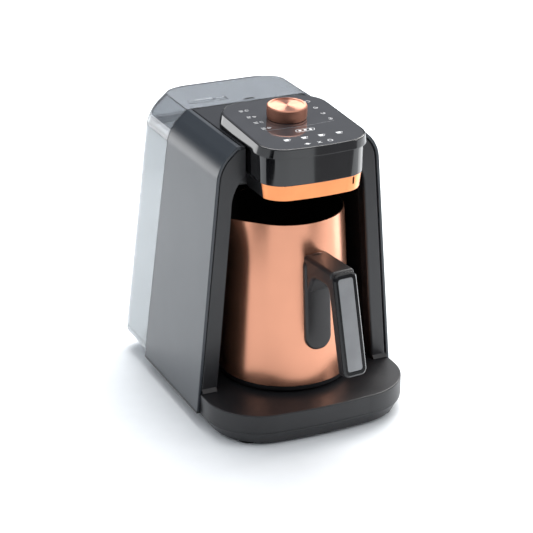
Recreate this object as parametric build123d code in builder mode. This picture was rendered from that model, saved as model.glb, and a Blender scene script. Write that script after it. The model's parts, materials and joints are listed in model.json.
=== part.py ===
from build123d import *
import os
from math import sin, cos, tan, radians, degrees, sqrt, pi

os.makedirs("parts", exist_ok=True)

# ---------------------------------------------------------------- driving sizes (mm)
# Frame: +Z up, +X to the right seen from the front, the front faces -Y.
# Origin: middle of the footprint box, on the surface the feet stand on.
seam_z = 13.0            # joint between the lower base and everything above it
deck_z = 241.0           # flat top of the casing
bend_z = 226.0           # where the leaning sides turn into the bevels
w_low, w_bend, w_top = 90.0, 70.9, 54.6   # half widths at seam, bend, deck
bend_r = 32.0            # rounding of the bend
skin = 2.6               # casing wall
front_lo, front_hi = -43.9, -49.7   # casing front plane at seam_z and deck_z
rear_lo, rear_hi = 75.4, 53.4       # casing rear plane at seam_z and deck_z
back_lo, back_hi = 136.0, 115.7     # tank rear plane at seam_z and deck_z
lid_z = 214.8            # joint between tank and lid
tray_z = 28.8            # top of the tray
tray_w, tray_front, tray_r, tray_bow = 87.1, -106.8, 48.0, 2.0
foot_h = 2.4

head_w = 45.9            # half width of the head
head_front, head_rear = -90.8, 20.5
head_rf, head_rr, head_bow = 21.8, 24.0, 1.2
panel_slope = 2.65       # the panel falls towards the front, degrees
panel_y, panel_z = -24.4, 250.5     # knob axis meets the panel here
band_h = 7.8             # glossy band under the panel
fascia_z = 216.7         # bottom of the fascia, top of the trim
trim_z = 203.8           # bottom of the trim

knob_r, knob_h = 16.4, 11.0

jug_y = -20.8            # jug axis
jug_turn = 5.6           # the jug stands turned by this about its axis, degrees
jug_rt, jug_zt = 49.0, 174.8        # rim radius and height
jug_rb, jug_zb = 56.0, 35.0         # radius and height of the bottom of the sleeve
jug_skin = 0.9
plate_top = 29.6         # top of the heating plate

valve_y = 104.0          # tank valve axis
run_gap = 0.3            # free gap between pieces on different bodies


def lerp(a, b, z):
    return a + (b - a) * (z - seam_z) / (deck_z - seam_z)


def fy(z): return lerp(front_lo, front_hi, z)      # casing front plane
def ry(z): return lerp(rear_lo, rear_hi, z)        # casing rear plane
def by(z): return lerp(back_lo, back_hi, z)        # tank rear plane
def wx(z): return w_low + (w_bend - w_low) * (z - seam_z) / (bend_z - seam_z)
def jr(z): return jug_rb + (jug_rt - jug_rb) * (z - jug_zb) / (jug_zt - jug_zb)


# rounded bend between the leaning side (1) and the bevel (2), in (half width, z)
s1 = (w_bend - w_low, bend_z - seam_z)
s2 = (w_top - w_bend, deck_z - bend_z)
l1, l2 = sqrt(s1[0] ** 2 + s1[1] ** 2), sqrt(s2[0] ** 2 + s2[1] ** 2)
n1 = (-s1[1] / l1, s1[0] / l1)
n2 = (-s2[1] / l2, s2[0] / l2)
kk = bend_r / (1 + n1[0] * n2[0] + n1[1] * n2[1])
bend_c = (w_bend + kk * (n1[0] + n2[0]), bend_z + kk * (n1[1] + n2[1]))


def arch_w(z, off=0.0):
    """Half width of the casing outline at height z, moved inwards by off."""
    r = bend_r - off
    if z <= bend_c[1] - r * n1[1]:
        return w_low + off * n1[0] + (z - seam_z - off * n1[1]) * s1[0] / s1[1]
    if z >= bend_c[1] - r * n2[1]:
        return w_top + off * n2[0] + (z - deck_z - off * n2[1]) * s2[0] / s2[1]
    return bend_c[0] + sqrt(r * r - (z - bend_c[1]) ** 2)


arch = [(-w_low, seam_z), (-w_bend, bend_z), (-w_top, deck_z),
        (w_top, deck_z), (w_bend, bend_z), (w_low, seam_z)]


def u_line(w, yf, r, bow, yb, rb=0.0):
    """Closed outline: straight sides, rounded front corners, bowed front."""
    yc = yf + bow + r
    k = r * sin(radians(45))
    a = (-w + rb, yb)
    if rb > 0:
        Line((-w, yb - rb), (-w, yc))
    else:
        Line((-w, yb), (-w, yc))
    ThreePointArc((-w, yc), (-w + r - k, yc - k), (-w + r, yc - r))
    ThreePointArc((-w + r, yc - r), (0, yf), (w - r, yc - r))
    ThreePointArc((w - r, yc - r), (w - r + k, yc - k), (w, yc))
    if rb > 0:
        q = rb * sin(radians(45))
        Line((w, yc), (w, yb - rb))
        ThreePointArc((w, yb - rb), (w - rb + q, yb - rb + q), (w - rb, yb))
        Line((w - rb, yb), (-w + rb, yb))
        ThreePointArc((-w + rb, yb), (-w + rb - q, yb - rb + q), (-w, yb - rb))
    else:
        Line((w, yc), (w, yb))
        Line((w, yb), (-w, yb))


def back_line(w, y0, y1, ry_, rx_=None):
    """Closed outline: square front corners at y0, rounded rear corners at y1."""
    rx_ = ry_ if rx_ is None else rx_
    c = 0.4477
    Line((-w, y0), (w, y0))
    Line((w, y0), (w, y1 - ry_))
    Bezier((w, y1 - ry_), (w, y1 - ry_ * c), (w - rx_ * c, y1), (w - rx_, y1))
    Line((w - rx_, y1), (-w + rx_, y1))
    Bezier((-w + rx_, y1), (-w + rx_ * c, y1), (-w, y1 - ry_ * c), (-w, y1 - ry_))
    Line((-w, y1 - ry_), (-w, y0))


def back_arc(w, y0, y1, r):
    """The same outline with circular corners."""
    k = r * sin(radians(45))
    Line((-w, y0), (w, y0))
    Line((w, y0), (w, y1 - r))
    ThreePointArc((w, y1 - r), (w - r + k, y1 - r + k), (w - r, y1))
    Line((w - r, y1), (-w + r, y1))
    ThreePointArc((-w + r, y1), (-w + r - k, y1 - r + k), (-w, y1 - r))
    Line((-w, y1 - r), (-w, y0))


def save(part, label):
    part.label = label
    export_step(part, "parts/" + label + ".step")
    print(label, round(part.volume, 1), len(part.solids()))


# ================================================================ casing
# Side covers: leaning wall, rounded bend, bevel and a narrow lip beside the deck.
side_profile = [(-w_low, seam_z), (-w_bend, bend_z), (-w_top, deck_z), (-51.7, deck_z),
                (-51.7, deck_z - skin), (-arch_w(deck_z - skin, skin), deck_z - skin),
                (-w_bend - skin * (n1[0] + n2[0]) / (1 + n1[0] * n2[0] + n1[1] * n2[1]),
                 bend_z + skin * (n1[1] + n2[1]) / (1 + n1[0] * n2[0] + n1[1] * n2[1])),
                (-arch_w(seam_z, skin), seam_z)]

with BuildPart() as side_cover_left:
    with BuildSketch(Plane.XZ):
        with BuildLine():
            Polyline(*side_profile, close=True)
        make_face()
        fillet([v for v in vertices() if abs(v.Y - bend_z) < 1.5 and v.X < -70], bend_r)
        fillet([v for v in vertices() if abs(v.Y - bend_z) < 1.5 and v.X > -69], bend_r - skin)
    extrude(amount=150, both=True)
    with BuildSketch(Plane.YZ):
        with BuildLine():
            Polyline((fy(seam_z), seam_z), (fy(deck_z), deck_z), (ry(deck_z), deck_z),
                     (ry(seam_z), seam_z), close=True)
        make_face()
    extrude(amount=150, both=True, mode=Mode.INTERSECT)
    chamfer(side_cover_left.faces().sort_by(Axis.Y)[0].edges().filter_by(
        lambda e: e.length > 8), 0.45)
    # two inner ribs that hold the frame and the rear panel square
    for yy in (-6.0, 34.0):
        with BuildSketch(Plane.XZ.offset(-yy)):
            with BuildLine():
                Polyline((-wx(40) + skin - 0.5, 40), (-wx(200) + skin - 0.5, 200),
                         (-wx(200) + skin + 4.0, 200), (-wx(40) + skin + 4.0, 40), close=True)
            make_face()
        extrude(amount=1.0, both=True)
save(side_cover_left.part, "side_cover_left")

with BuildPart() as side_cover_right:
    add(side_cover_left.part)
    mirror(about=Plane.YZ, mode=Mode.REPLACE)
save(side_cover_right.part, "side_cover_right")

# Front frame: the arch that rims the jug bay. Inner contour flares downwards and
# narrows to the neck that carries the head.
frame_depth = 12.0
with BuildPart() as front_frame:
    with BuildSketch(Plane.XZ):
        with BuildLine():
            Polyline(*arch, close=True)
        make_face()
        fillet([v for v in vertices() if abs(v.Y - bend_z) < 1], bend_r)
        offset(amount=-(skin + 0.12), mode=Mode.REPLACE)
        with BuildLine():
            Line((-74.2, 0), (-60.1, 175))
            Line((-60.1, 175), (-59.0, 192))
            ThreePointArc((-59.0, 192), (-55.7, 204.4), (-47.2, 215.8))
            Line((-47.2, 215.8), (-47.2, 260))
            Line((-47.2, 260), (47.2, 260))
            Line((47.2, 260), (47.2, 215.8))
            ThreePointArc((47.2, 215.8), (55.7, 204.4), (59.0, 192))
            Line((59.0, 192), (60.1, 175))
            Line((60.1, 175), (74.2, 0))
            Line((74.2, 0), (-74.2, 0))
        make_face(mode=Mode.SUBTRACT)
    extrude(amount=150, both=True)
    with BuildSketch(Plane.YZ):
        with BuildLine():
            Polyline((fy(tray_z) + 0.5, tray_z + 0.05), (fy(deck_z) + 0.5, deck_z - skin - 0.1),
                     (fy(deck_z) + frame_depth, deck_z - skin - 0.1),
                     (fy(tray_z) + frame_depth, tray_z + 0.05), close=True)
        make_face()
    extrude(amount=150, both=True, mode=Mode.INTERSECT)
    face = front_frame.faces().filter_by(lambda f: f.normal_at().Y < -0.9).sort_by(SortBy.AREA)[-1]
    chamfer(face.edges().filter_by(lambda e: abs(e.center().X) > wx(e.center().Z) - 6
                                   and 60 < e.center().Z < 237), 0.9)
    face = front_frame.faces().filter_by(lambda f: f.normal_at().Y < -0.9).sort_by(SortBy.AREA)[-1]
    fillet(face.edges().filter_by(lambda e: abs(e.center().X) < wx(e.center().Z) - 8
                                  and 32 < e.center().Z < 236), 2.2)
    # neck plate behind the head joins the two legs
    with BuildSketch(Plane.YZ):
        with BuildLine():
            Polyline((fy(206) + 9.0, 206.2), (fy(deck_z) + 9.0, deck_z - skin - 0.1),
                     (fy(deck_z) + frame_depth, deck_z - skin - 0.1),
                     (fy(206) + frame_depth, 206.2), close=True)
        make_face()
    extrude(amount=52.0, both=True)
    # small flared feet standing on the tray
    for s in (-1, 1):
        with BuildSketch(Plane.YZ.offset(s * 78.9)):
            with BuildLine():
                Polyline((fy(tray_z) - 2.6, tray_z + 0.05), (fy(tray_z) - 2.6, tray_z + 0.9),
                         (fy(tray_z) + 0.6, tray_z + 3.6), (fy(tray_z) + 3.0, tray_z + 3.6),
                         (fy(tray_z) + 3.0, tray_z + 0.05), close=True)
            make_face()
        extrude(amount=6.4, both=True)
    # cut-outs in the neck plate for the head's wiring and water pipe
    with BuildSketch(Plane.XZ):
        with Locations((0, 224)):
            RectangleRounded(40, 14, 3)
    extrude(amount=100, mode=Mode.SUBTRACT)
save(front_frame.part, "front_frame")

# Bay liner: black walls, back and ceiling round the jug.
liner_front = -37.2
liner_back = 41.0
with BuildPart() as bay_liner:
    with BuildSketch(Plane.XZ):
        with BuildLine():
            Polyline((-75.9 + 24 * 0.0806, 24), (-61.8, 175), (-60.8, 192), (-55.0, 206.0),
                     (55.0, 206.0), (60.8, 192), (61.8, 175), (75.9 - 24 * 0.0806, 24), close=True)
        make_face()
    extrude(amount=150, both=True)
    with BuildSketch(Plane.YZ):
        with BuildLine():
            Polyline((fy(24) + frame_depth + 0.1, 24), (fy(206) + frame_depth + 0.1, 206),
                     (liner_back + 2.2, 206), (liner_back + 2.2, 24), close=True)
        make_face()
    extrude(amount=150, both=True, mode=Mode.INTERSECT)
    with BuildSketch(Plane.XZ.offset(-liner_back)):
        with BuildLine():
            Polyline((-74.2, 0), (-60.1, 175), (-59.0, 192), (-54.3, 203.8),
                     (54.3, 203.8), (59.0, 192), (60.1, 175), (74.2, 0), close=True)
        make_face()
    extrude(amount=200, mode=Mode.SUBTRACT)
save(bay_liner.part, "bay_liner")

# Rear panel: leaning partition between the works and the tank.
with BuildPart() as rear_panel:
    with BuildSketch(Plane.XZ):
        with BuildLine():
            Polyline(*arch, close=True)
        make_face()
        fillet([v for v in vertices() if abs(v.Y - bend_z) < 1], bend_r)
        offset(amount=-(skin + 0.12), mode=Mode.REPLACE)
    extrude(amount=150, both=True)
    with BuildSketch(Plane.YZ):
        with BuildLine():
            Polyline((ry(16) - 2.6, 16), (ry(deck_z) - 2.6, deck_z - skin - 0.1),
                     (ry(deck_z) - 0.2, deck_z - skin - 0.1), (ry(16) - 0.2, 16), close=True)
        make_face()
    extrude(amount=150, both=True, mode=Mode.INTERSECT)
save(rear_panel.part, "rear_panel")

# Top deck: glossy plate between the two covers, under the head.
with BuildPart() as top_deck:
    with BuildSketch(Plane.XY.offset(deck_z - skin)):
        with BuildLine():
            Polyline((-51.5, fy(deck_z) + 0.2), (-47.6, fy(deck_z) + 0.2), (-47.6, fy(deck_z) + 13.0),
                     (47.6, fy(deck_z) + 13.0), (47.6, fy(deck_z) + 0.2), (51.5, fy(deck_z) + 0.2),
                     (51.5, ry(deck_z) - 0.2), (-51.5, ry(deck_z) - 0.2), close=True)
        make_face()
    extrude(amount=skin - 0.4)
    # shallow groove inside each long edge
    with BuildSketch(Plane.XY.offset(deck_z - 0.4)):
        with Locations((-50.2, 2), (50.2, 2)):
            Rectangle(0.9, 100)
    extrude(amount=-0.9, mode=Mode.SUBTRACT)
    # wiring and pipe openings into the head
    with BuildSketch(Plane.XY.offset(deck_z)):
        with Locations((0, -10)):
            RectangleRounded(50, 24, 4)
    extrude(amount=-6, mode=Mode.SUBTRACT)
save(top_deck.part, "top_deck")

# ================================================================ base and tray
feet_at = [(-61, -82.5), (61, -82.5), (-60, 104), (60, 104)]
screws_at = [(-70, -52), (70, -52), (-70, 62), (70, 62)]
base_floor = foot_h + 2.2
with BuildPart() as lower_base:
    with BuildSketch(Plane.XY.offset(foot_h)):
        with BuildLine():
            u_line(81.1, tray_front + 3.6, 44.2, tray_bow, 72.0)
        make_face()
    with BuildSketch(Plane.XY.offset(seam_z - 1.8)):
        with BuildLine():
            u_line(86.3, tray_front + 0.6, tray_r - 0.5, tray_bow, 75.0)
        make_face()
    loft()
    fillet(lower_base.faces().sort_by(Axis.Z)[0].edges(), 1.2)
    with BuildSketch(Plane.XY.offset(seam_z - 1.9)):
        with BuildLine():
            u_line(86.8, tray_front + 0.2, tray_r, tray_bow, 75.2)
        make_face()
        with Locations((0, (fy(seam_z) + 0.4 + 75.2) / 2)):
            Rectangle(2 * 90.2, 75.2 - fy(seam_z) - 0.4)
    extrude(amount=1.8)
    # narrower part behind the casing that carries the tank
    with BuildSketch(Plane.XY.offset(foot_h)):
        with BuildLine():
            back_arc(73.0, 60.0, 119.5, 14.0)
        make_face()
    with BuildSketch(Plane.XY.offset(seam_z - 0.1)):
        with BuildLine():
            back_arc(78.2, 60.0, 122.0, 16.0)
        make_face()
    loft()
    with BuildSketch(Plane.XY.offset(base_floor)):
        with BuildLine():
            u_line(79.6, tray_front + 5.6, 42.7, tray_bow, 70.0)
        make_face()
    with BuildSketch(Plane.XY.offset(seam_z)):
        with BuildLine():
            u_line(84.0, tray_front + 2.8, tray_r - 2.4, tray_bow, 72.6)
        make_face()
    loft(mode=Mode.SUBTRACT)
    with BuildSketch(Plane.XY.offset(base_floor)):
        with BuildLine():
            back_arc(71.2, 58.0, 117.4, 12.2)
        make_face()
    with BuildSketch(Plane.XY.offset(seam_z)):
        with BuildLine():
            back_arc(75.8, 58.0, 119.8, 14.0)
        make_face()
    loft(mode=Mode.SUBTRACT)
    # foot pockets and screw holes in the floor
    with BuildSketch(Plane.XY.offset(foot_h)):
        with Locations(*feet_at):
            Circle(8.6)
    extrude(amount=0.8, mode=Mode.SUBTRACT)
    with BuildSketch(Plane.XY.offset(foot_h)):
        with Locations(*screws_at):
            Circle(1.9)
    extrude(amount=6, mode=Mode.SUBTRACT)
    # cooling slots
    with BuildSketch(Plane.XY.offset(foot_h)):
        with GridLocations(9, 40, 7, 2):
            SlotOverall(24, 3, rotation=90)
    extrude(amount=6, mode=Mode.SUBTRACT)
    # cord gland hole in the rear wall
    with BuildSketch(Plane.XZ.offset(-126)):
        with Locations((46, 7.4)):
            Circle(2.6)
    extrude(amount=14, mode=Mode.SUBTRACT)
save(lower_base.part, "lower_base")

with BuildPart() as rubber_feet:
    with BuildSketch(Plane.XY):
        with Locations(*feet_at):
            Circle(8.1)
    extrude(amount=foot_h + 0.8)
    chamfer(rubber_feet.faces().sort_by(Axis.Z)[0:4].edges(), 0.5)
save(rubber_feet.part, "rubber_feet")

# Tray: flat top with a vertical band round the front, floor of the jug bay behind.
with BuildPart() as tray:
    with BuildSketch(Plane.XY.offset(seam_z + 0.2)):
        with BuildLine():
            u_line(tray_w, tray_front, tray_r, tray_bow, -44.4)
        make_face()
        with BuildLine():
            Polyline((-85.2, -46), (-85.2, fy(tray_z) + frame_depth + 0.1),
                     (-71.7, fy(tray_z) + frame_depth + 0.1), (-71.7, liner_back - 0.1),
                     (71.7, liner_back - 0.1), (71.7, fy(tray_z) + frame_depth + 0.1),
                     (85.2, fy(tray_z) + frame_depth + 0.1), (85.2, -46), close=True)
        make_face()
    extrude(amount=tray_z - seam_z - 0.2)
    top_edges = tray.faces().sort_by(Axis.Z)[-1].outer_wire().edges().filter_by(
        lambda e: e.center().Y < -45.0)
    fillet(top_edges, 1.0)
    with BuildSketch(Plane.XY.offset(seam_z + 0.2)):
        with BuildLine():
            u_line(tray_w - 2.4, tray_front + 2.4, tray_r - 2.4, tray_bow, -42.0)
        make_face()
        with BuildLine():
            Polyline((-82.8, -46), (-82.8, fy(tray_z) + frame_depth - 2.3),
                     (-69.3, fy(tray_z) + frame_depth - 2.3), (-69.3, liner_back - 2.5),
                     (69.3, liner_back - 2.5), (69.3, fy(tray_z) + frame_depth - 2.3),
                     (82.8, fy(tray_z) + frame_depth - 2.3), (82.8, -46), close=True)
        make_face()
    extrude(amount=tray_z - seam_z - 2.9, mode=Mode.SUBTRACT)
    # seat of the heating plate
    with BuildSketch(Plane.XY.offset(tray_z)):
        with Locations((0, jug_y)):
            Circle(50.0)
    extrude(amount=-10, mode=Mode.SUBTRACT)
save(tray.part, "tray")

with BuildPart() as heating_plate:
    with BuildSketch(Plane.XY.offset(tray_z - 2.8)):
        with Locations((0, jug_y)):
            Circle(49.6)
    extrude(amount=plate_top - tray_z + 2.8)
    chamfer(heating_plate.faces().sort_by(Axis.Z)[-1].edges(), 0.4)
    with BuildSketch(Plane.XY.offset(tray_z - 4.6)):
        with Locations((0, jug_y)):
            Circle(54.0)
    extrude(amount=1.9)
    with BuildSketch(Plane.XY.offset(plate_top)):
        with Locations((0, jug_y)):
            Circle(6.4)
    extrude(amount=-12, mode=Mode.SUBTRACT)
save(heating_plate.part, "heating_plate")

# flat ring squeezed under the tray floor round the plate's flange
with BuildPart() as plate_gasket:
    with BuildSketch(Plane.XY.offset(tray_z - 6.4)):
        with Locations((0, jug_y)):
            Circle(56.5)
            Circle(54.1, mode=Mode.SUBTRACT)
    extrude(amount=3.7)
save(plate_gasket.part, "plate_gasket")

with BuildPart() as heating_element:
    with BuildSketch(Plane.XZ.offset(-jug_y)):
        with Locations((34.0, tray_z - 7.9)):
            Circle(3.3)
    revolve(axis=Axis((0, jug_y, 0), (0, 0, 1)), revolution_arc=330)
save(heating_element.part, "heating_element")

with BuildPart() as temperature_sensor:
    with BuildSketch(Plane.XY.offset(tray_z - 5.6)):
        with Locations((0, jug_y)):
            Circle(9.0)
    extrude(amount=1.0)
    with BuildSketch(Plane.XY.offset(tray_z - 4.7)):
        with Locations((0, jug_y)):
            Circle(6.0)
    extrude(amount=plate_top - 0.6 - tray_z + 4.7)
    with BuildSketch(Plane.XY.offset(tray_z - 5.5)):
        with Locations((0, jug_y)):
            Circle(4.0)
    extrude(amount=-5)
save(temperature_sensor.part, "temperature_sensor")

with BuildPart() as heater_shield:
    with BuildSketch(Plane.XY.offset(base_floor)):
        with Locations((0, jug_y)):
            Circle(58)
    extrude(amount=12.0)
    with BuildSketch(Plane.XY.offset(base_floor + 0.8)):
        with Locations((0, jug_y)):
            Circle(57.2)
    extrude(amount=20.0, mode=Mode.SUBTRACT)
save(heater_shield.part, "heater_shield")

# Tank shelf: closes the lower base behind the casing; the tank stands on it.
with BuildPart() as tank_shelf:
    with BuildSketch(Plane.XY.offset(seam_z - 2.4)):
        with BuildLine():
            back_arc(74.2, ry(seam_z) + 0.4, 118.8, 13.4)
        make_face()
    extrude(amount=2.2)
    with BuildSketch(Plane.XY.offset(seam_z)):
        with Locations((0, valve_y)):
            Circle(8.0)
    extrude(amount=-8, mode=Mode.SUBTRACT)
save(tank_shelf.part, "tank_shelf")

# Tank socket: cup that stands up into the tank's neck, with a sump, a hose stub
# below the shelf and a standing pin that opens the valve.
with BuildPart() as tank_socket:
    with BuildSketch(Plane.XY.offset(seam_z - 3.5)):
        with Locations((0, valve_y)):
            Circle(11.0)
            Circle(5.6, mode=Mode.SUBTRACT)
    extrude(amount=1.1)
    with BuildSketch(Plane.XY.offset(seam_z - 3.5)):
        with Locations((0, valve_y)):
            Circle(6.7)
            Circle(5.6, mode=Mode.SUBTRACT)
    extrude(amount=7.1)
    with BuildSketch(Plane.XY.offset(seam_z - 7.4)):
        with Locations((0, valve_y)):
            RectangleRounded(13.0, 13.0, 2.0)
    extrude(amount=4.0)
    with BuildSketch(Plane.XY.offset(seam_z - 6.4)):
        with Locations((0, valve_y)):
            Circle(4.6)
            Circle(1.3, mode=Mode.SUBTRACT)
    extrude(amount=3.5, mode=Mode.SUBTRACT)
    with BuildSketch(Plane.XY.offset(seam_z - 3.6)):
        with Locations((0, valve_y)):
            Circle(1.3)
    extrude(amount=3.7)
    with BuildSketch(Plane.XZ.offset(-(valve_y - 6.4))):
        with Locations((0, seam_z - 5.1)):
            Circle(1.5)
    extrude(amount=13.6)
    with BuildSketch(Plane.XZ.offset(-(valve_y - 3.5))):
        with Locations((0, seam_z - 5.1)):
            Circle(0.9)
    extrude(amount=17, mode=Mode.SUBTRACT)
save(tank_socket.part, "tank_socket")

with BuildPart() as cord_gland:
    with BuildSketch(Plane.XZ.offset(-121.7)):
        with Locations((46, 7.4)):
            Circle(2.5)
            Circle(1.8, mode=Mode.SUBTRACT)
    extrude(amount=9.5)
    with BuildSketch(Plane.XZ.offset(-121.6)):
        with Locations((46, 7.4)):
            Circle(3.4)
            Circle(1.8, mode=Mode.SUBTRACT)
    extrude(amount=-1.6)
save(cord_gland.part, "cord_gland")

# ================================================================ head
head_plane = Plane(origin=(0, panel_y, panel_z), x_dir=(1, 0, 0),
                   z_dir=(0, -sin(radians(panel_slope)), cos(radians(panel_slope))))
hf, hr = head_front - panel_y, head_rear - panel_y     # along the sloping panel


def on_head(h):
    return head_plane.offset(h)


with BuildPart() as head_band:
    with BuildSketch(on_head(-band_h)):
        with BuildLine():
            u_line(head_w + 1.7, hf - 0.2, head_rf + 1.4, head_bow, hr + 1.2, head_rr + 1.4)
        make_face()
    with BuildSketch(on_head(0)):
        with BuildLine():
            u_line(head_w, hf, head_rf, head_bow, hr, head_rr)
        make_face()
    loft()
    fillet(head_band.faces().sort_by(Axis.Z)[-1].outer_wire().edges(), 0.8)
    with BuildSketch(on_head(-1.5)):
        with BuildLine():
            u_line(head_w - 1.3, hf + 1.3, head_rf - 1.3, head_bow, hr - 1.3, head_rr - 1.3)
        make_face()
    extrude(amount=3, mode=Mode.SUBTRACT)
    with BuildSketch(on_head(-band_h)):
        with BuildLine():
            u_line(head_w - 3.4, hf + 3.4, head_rf - 3.4, head_bow, hr - 3.4, head_rr - 3.4)
        make_face()
    extrude(amount=band_h, mode=Mode.SUBTRACT)
save(head_band.part, "head_band")

with BuildPart() as touch_panel:
    with BuildSketch(on_head(-1.5)):
        with BuildLine():
            u_line(head_w - 1.4, hf + 1.4, head_rf - 1.4, head_bow, hr - 1.4, head_rr - 1.4)
        make_face()
        Circle(4.2, mode=Mode.SUBTRACT)
    extrude(amount=1.5)
save(touch_panel.part, "touch_panel")

# head shell: fascia box in front of the neck, tapering slightly downwards
neck_y = -37.4
with BuildPart() as head_shell:
    with BuildSketch(Plane.XY.offset(250)):
        with BuildLine():
            u_line(head_w - 0.6, head_front + 1.7, head_rf - 0.3, head_bow, -41.2)
        make_face()
    with BuildSketch(Plane.XY.offset(fascia_z)):
        with BuildLine():
            u_line(44.9, head_front + 2.1, head_rf - 0.3, head_bow, -41.2)
        make_face()
    loft()
    split(bisect_by=on_head(-band_h - 0.05), keep=Keep.BOTTOM)
    with BuildSketch(Plane.XY.offset(250)):
        with BuildLine():
            u_line(head_w - 3.1, head_front + 4.2, head_rf - 2.8, head_bow, -43.6)
        make_face()
    with BuildSketch(Plane.XY.offset(fascia_z)):
        with BuildLine():
            u_line(42.4, head_front + 4.6, head_rf - 2.8, head_bow, -43.6)
        make_face()
    loft(mode=Mode.SUBTRACT)
    # opening in the back wall onto the neck
    with BuildSketch(Plane.XZ.offset(60)):
        with Locations((0, 226)):
            RectangleRounded(44, 16, 3)
    extrude(amount=-25, mode=Mode.SUBTRACT)
save(head_shell.part, "head_shell")

# skirt: low collar that closes the wedge between band and deck
with BuildPart() as head_skirt:
    with BuildSketch(Plane.XY.offset(deck_z - 0.4)):
        with BuildLine():
            Line((-47.2, -41.1), (47.2, -41.1))
            Line((47.2, -41.1), (47.2, head_rear + 1.0 - 24))
            ThreePointArc((47.2, head_rear + 1.0 - 24), (47.2 - 7.03, head_rear + 1.0 - 7.03), (23.2, head_rear + 1.0))
            Line((23.2, head_rear + 1.0), (-23.2, head_rear + 1.0))
            ThreePointArc((-23.2, head_rear + 1.0), (-47.2 + 7.03, head_rear + 1.0 - 7.03), (-47.2, head_rear + 1.0 - 24))
            Line((-47.2, head_rear + 1.0 - 24), (-47.2, -41.1))
        make_face()
    extrude(amount=12)
    split(bisect_by=on_head(-band_h - 0.05), keep=Keep.BOTTOM)
    with BuildSketch(Plane.XY.offset(deck_z - 2)):
        with BuildLine():
            Line((-43.0, -39.0), (43.0, -39.0))
            Line((43.0, -39.0), (43.0, -3.5))
            ThreePointArc((43.0, -3.5), (37.2, 11.4), (22.2, 17.5))
            Line((22.2, 17.5), (-22.2, 17.5))
            ThreePointArc((-22.2, 17.5), (-37.2, 11.4), (-43.0, -3.5))
            Line((-43.0, -3.5), (-43.0, -39.0))
        make_face()
    extrude(amount=14, mode=Mode.SUBTRACT)
save(head_skirt.part, "head_skirt")

# trim band: copper coloured crescent round the front of the head
trim_end = -71.0
with BuildPart() as trim_band:
    with BuildSketch(Plane.XY.offset(fascia_z - 0.05)):
        with BuildLine():
            u_line(44.2, head_front + 2.4, head_rf - 0.6, head_bow, -50.0)
        make_face()
    with BuildSketch(Plane.XY.offset(trim_z)):
        with BuildLine():
            u_line(42.8, head_front + 3.6, head_rf - 1.2, head_bow, -50.0)
        make_face()
    loft()
    with BuildSketch(Plane.XY.offset(fascia_z + 1)):
        with BuildLine():
            u_line(42.0, head_front + 4.6, head_rf - 2.6, head_bow, -40.0)
        make_face()
    with BuildSketch(Plane.XY.offset(trim_z - 1)):
        with BuildLine():
            u_line(40.6, head_front + 5.8, head_rf - 3.2, head_bow, -40.0)
        make_face()
    loft(mode=Mode.SUBTRACT)
    with BuildSketch(Plane.XY.offset(190)):
        with Locations((0, trim_end + 30)):
            Rectangle(120, 60)
    extrude(amount=40, mode=Mode.SUBTRACT)
    # small indicator slot near the right end
    with BuildSketch(Plane.XZ.offset(80)):
        with Locations((29.6, 212.6)):
            SlotOverall(6.6, 2.0, rotation=90)
    extrude(amount=20, mode=Mode.SUBTRACT)
save(trim_band.part, "trim_band")

# head underbody: black body that the trim wraps, with the floor over the jug
with BuildPart() as head_underbody:
    with BuildSketch(Plane.XY.offset(fascia_z - 0.1)):
        with BuildLine():
            u_line(41.7, head_front + 5.0, head_rf - 2.8, head_bow, -41.2)
        make_face()
    with BuildSketch(Plane.XY.offset(trim_z + 0.6)):
        with BuildLine():
            u_line(40.3, head_front + 6.2, head_rf - 3.4, head_bow, -41.2)
        make_face()
    loft()
    with BuildSketch(Plane.XY.offset(trim_z + 3.0)):
        with BuildLine():
            u_line(38.6, head_front + 8.2, head_rf - 5.4, head_bow, -43.6)
        make_face()
    extrude(amount=20, mode=Mode.SUBTRACT)
    # side cheeks behind the ends of the trim
    for s in (-1, 1):
        with BuildSketch(Plane.XY.offset(trim_z + 0.6)):
            with BuildLine():
                Polyline((s * 40.2, trim_end + 0.3), (s * 42.4, trim_end + 0.3), (s * 42.7, trim_end + 4),
                         (s * 42.7, -41.2), (s * 40.2, -41.2), close=True)
            make_face()
        extrude(amount=fascia_z - 0.1 - trim_z - 0.6)
    # nozzle hole and sensor window
    with BuildSketch(Plane.XY.offset(trim_z)):
        with Locations((0, -54)):
            Circle(4.1)
        with Locations((16, -60)):
            Circle(4.1)
    extrude(amount=6, mode=Mode.SUBTRACT)
save(head_underbody.part, "head_underbody")

with BuildPart() as water_nozzle:
    with BuildSketch(Plane.XY.offset(trim_z - 3.0)):
        with Locations((0, -54)):
            Circle(3.9)
    extrude(amount=7)
    with BuildSketch(Plane.XY.offset(trim_z + 3.0)):
        with Locations((0, -54)):
            Circle(6.0)
    extrude(amount=1.8)
    with BuildSketch(Plane.XY.offset(trim_z + 4.6)):
        with Locations((0, -54)):
            Circle(1.6)
    extrude(amount=6)
    with BuildSketch(Plane.XY.offset(trim_z - 3.0)):
        with Locations((0, -54)):
            Circle(2.2)
    extrude(amount=6, mode=Mode.SUBTRACT)
    with BuildSketch(Plane.XY.offset(trim_z - 3.0)):
        with Locations((0, -54)):
            Circle(1.0)
    extrude(amount=20, mode=Mode.SUBTRACT)
save(water_nozzle.part, "water_nozzle")

with BuildPart() as foam_sensor:
    with BuildSketch(Plane.XY.offset(trim_z + 0.2)):
        with Locations((16, -60)):
            Circle(3.9)
    extrude(amount=9)
    with BuildSketch(Plane.XY.offset(trim_z + 3.0)):
        with Locations((16, -60)):
            Rectangle(11, 11)
    extrude(amount=3)
save(foam_sensor.part, "foam_sensor")

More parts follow.
